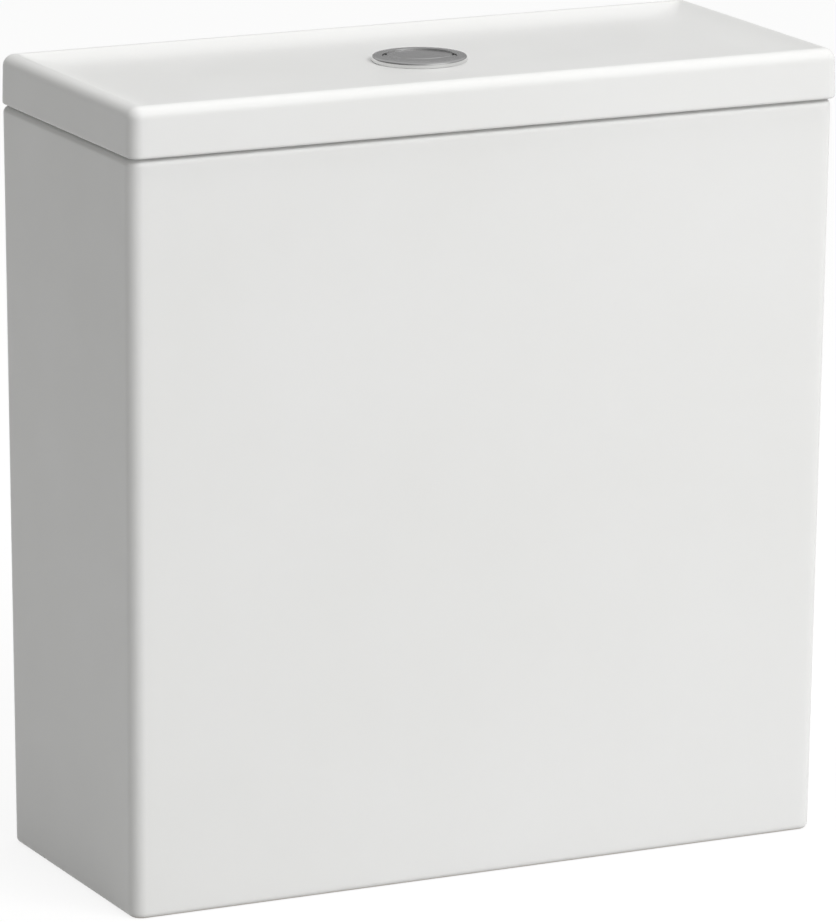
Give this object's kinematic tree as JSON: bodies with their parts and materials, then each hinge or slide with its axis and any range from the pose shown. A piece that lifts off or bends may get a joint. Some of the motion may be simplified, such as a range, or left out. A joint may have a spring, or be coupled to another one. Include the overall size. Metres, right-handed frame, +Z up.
{
  "type": "toilet cistern",
  "caption": "Close-coupled white china toilet cistern with a lift-off dished lid, chrome dual-flush push button, lever flush valve, float-arm fill valve and pan fixing bolts.",
  "frame": {"origin": "middle of the overall box at the foot that the tank stands on", "axes": "+X to the right seen from the front, front towards -Y, +Y to the wall, +Z up"},
  "size_m": [0.3874, 0.169, 0.41],
  "materials": {
    "china": "gloss glaze",
    "clear_silicone": "satin silicone",
    "chrome": "polished plating",
    "black_rubber": "matt",
    "white_plastic": "satin moulding",
    "blue_plastic": "satin moulding",
    "green_plastic": "satin moulding",
    "filter_plastic": "fine mesh",
    "spring_steel": "drawn wire",
    "foam_rubber": "open cell foam",
    "brass": "machined"
  },
  "bodies": {
    "cistern": {"tank": "china", "lid_pads": "clear_silicone", "flush_valve_base": "white_plastic", "valve_base_seal": "black_rubber", "valve_back_nut": "white_plastic", "coupling_gasket": "foam_rubber", "valve_tower": "white_plastic", "lever_pins": "spring_steel", "fill_valve_body": "white_plastic", "fill_valve_seal": "black_rubber", "fill_back_nut": "white_plastic", "inlet_filter": "filter_plastic", "fill_diaphragm": "black_rubber", "fill_valve_cap": "blue_plastic", "silencer_tube": "white_plastic", "float_arm_pin": "spring_steel", "fixing_bolts": "brass", "bolt_cone_washers": "black_rubber", "bolt_washers": "brass", "bolt_nuts": "brass"},
    "lid": {"lid": "china", "button_bezel": "chrome", "bezel_seal": "black_rubber", "bezel_nut": "white_plastic", "full_button_spring": "spring_steel", "half_button_spring": "spring_steel"},
    "full_button": {"full_flush_button": "chrome", "full_push_rod": "white_plastic"},
    "half_button": {"half_flush_button": "chrome", "half_push_rod": "white_plastic"},
    "overflow": {"overflow_tube": "blue_plastic", "flush_seal": "black_rubber"},
    "full_lever": {"full_flush_lever": "blue_plastic"},
    "half_lever": {"half_flush_lever": "green_plastic"},
    "half_float": {"half_flush_float": "green_plastic", "half_flush_lift_rod": "green_plastic"},
    "float_arm": {"float_arm": "blue_plastic", "float_screw": "white_plastic", "float_cup": "white_plastic"}
  },
  "joints": [
    {"name": "lid_lift", "type": "slide", "parent": "cistern", "child": "lid", "axis": [0, 0, 1], "range_m": [0, 0.15]},
    {"name": "full_button_press", "type": "slide", "parent": "lid", "child": "full_button", "axis": [0, 0, -1], "range_m": [0, 0.0065], "stiffness_N_per_m": 500, "springref_m": -0.006, "deforming": ["full_button_spring"]},
    {"name": "half_button_press", "type": "slide", "parent": "lid", "child": "half_button", "axis": [0, 0, -1], "range_m": [0, 0.0065], "stiffness_N_per_m": 500, "springref_m": -0.006, "deforming": ["half_button_spring"]},
    {"name": "full_lever_tilt", "type": "hinge", "parent": "cistern", "child": "full_lever", "pos_m": [0.01485, -0.00138, 0.3], "axis": [-0.4305, -0.9026, 0], "range_deg": [0, 28.51]},
    {"name": "overflow_lift", "type": "slide", "parent": "cistern", "child": "overflow", "axis": [0, 0, 1], "range_m": [0, 0.0147]},
    {"name": "half_lever_tilt", "type": "hinge", "parent": "cistern", "child": "half_lever", "pos_m": [-0.01834, -0.00593, 0.3], "axis": [0.4305, 0.9026, 0], "range_deg": [0, 28.51]},
    {"name": "half_float_lift", "type": "slide", "parent": "cistern", "child": "half_float", "axis": [0, 0, 1], "range_m": [0, 0.0147]},
    {"name": "float_arm_swing", "type": "hinge", "parent": "cistern", "child": "float_arm", "pos_m": [-0.128, 0.006, 0.264], "axis": [0, -1, 0], "range_deg": [0, 12]}
  ],
  "couplings": [
    {"joint": "full_lever_tilt", "follows": "full_button_press", "rad_per_m": 75.758},
    {"joint": "overflow_lift", "follows": "full_button_press", "ratio": 2.24},
    {"joint": "half_lever_tilt", "follows": "half_button_press", "rad_per_m": 75.758},
    {"joint": "half_float_lift", "follows": "half_button_press", "ratio": 2.24}
  ]
}
